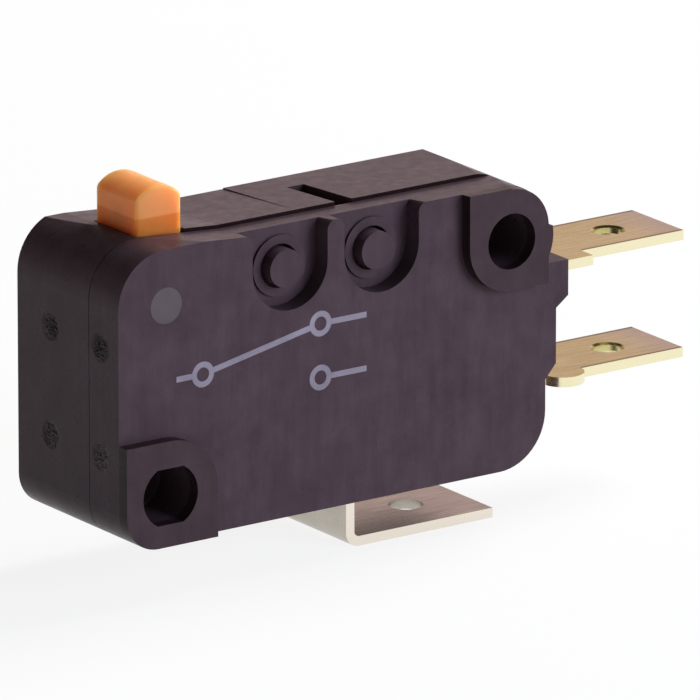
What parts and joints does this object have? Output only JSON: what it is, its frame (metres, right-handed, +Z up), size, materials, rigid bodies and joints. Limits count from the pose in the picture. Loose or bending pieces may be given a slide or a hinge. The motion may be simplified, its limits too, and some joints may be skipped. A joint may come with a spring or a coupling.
{
  "type": "pin plunger micro switch",
  "caption": "Snap action switch with a moulded box housing, orange pin plunger, raised mounting bosses, side tabs and an angled common terminal underneath.",
  "frame": {"origin": "on the axis of the lower mounting hole, midway through the housing's thickness", "axes": "+X along the housing towards the terminal tabs, +Y from the plain front to the back along the mounting holes, +Z up to the plunger"},
  "size_m": [0.0385, 0.0104, 0.0217],
  "materials": {
    "housing": "fine moulded grain",
    "plunger": "smooth moulded",
    "plated_strip": "dull plated strip",
    "brass_strip": "rolled strip, cut edges bright",
    "contact_silver": "satin",
    "lever": "smooth moulded",
    "spring_wire": "drawn wire",
    "print": "flat printed ink"
  },
  "bodies": {
    "housing": {"case": "housing", "cover": "housing", "posts": "housing", "pivot_pin": "spring_wire", "common_terminal": "plated_strip", "upper_terminal": "brass_strip", "lower_terminal": "brass_strip", "upper_contact": "contact_silver", "lower_contact": "contact_silver"},
    "plunger": {"plunger": "plunger"},
    "lever": {"lever": "lever"},
    "blade": {"moving_blade": "brass_strip", "moving_contact": "contact_silver", "coil_spring": "spring_wire"}
  },
  "joints": [
    {"name": "plunger_press", "type": "slide", "parent": "housing", "child": "plunger", "axis": [0, 0, -1], "range_m": [0, 0.002], "stiffness_N_per_m": 400, "springref_m": -0.001},
    {"name": "lever_pivot", "type": "hinge", "parent": "housing", "child": "lever", "pos_m": [0.01, 0.00045, 0.00895], "axis": [0, -1, 0], "range_deg": [0, 14.02]},
    {"name": "blade_rock", "type": "hinge", "parent": "housing", "child": "blade", "pos_m": [0.0062, 0, 0.00619], "axis": [0, 1, 0], "range_deg": [0, 3.51], "deforming": ["coil_spring"]}
  ],
  "couplings": [
    {"joint": "lever_pivot", "follows": "plunger_press", "rad_per_m": 122.25},
    {"joint": "blade_rock", "follows": "plunger_press", "rad_per_m": 30.543}
  ]
}
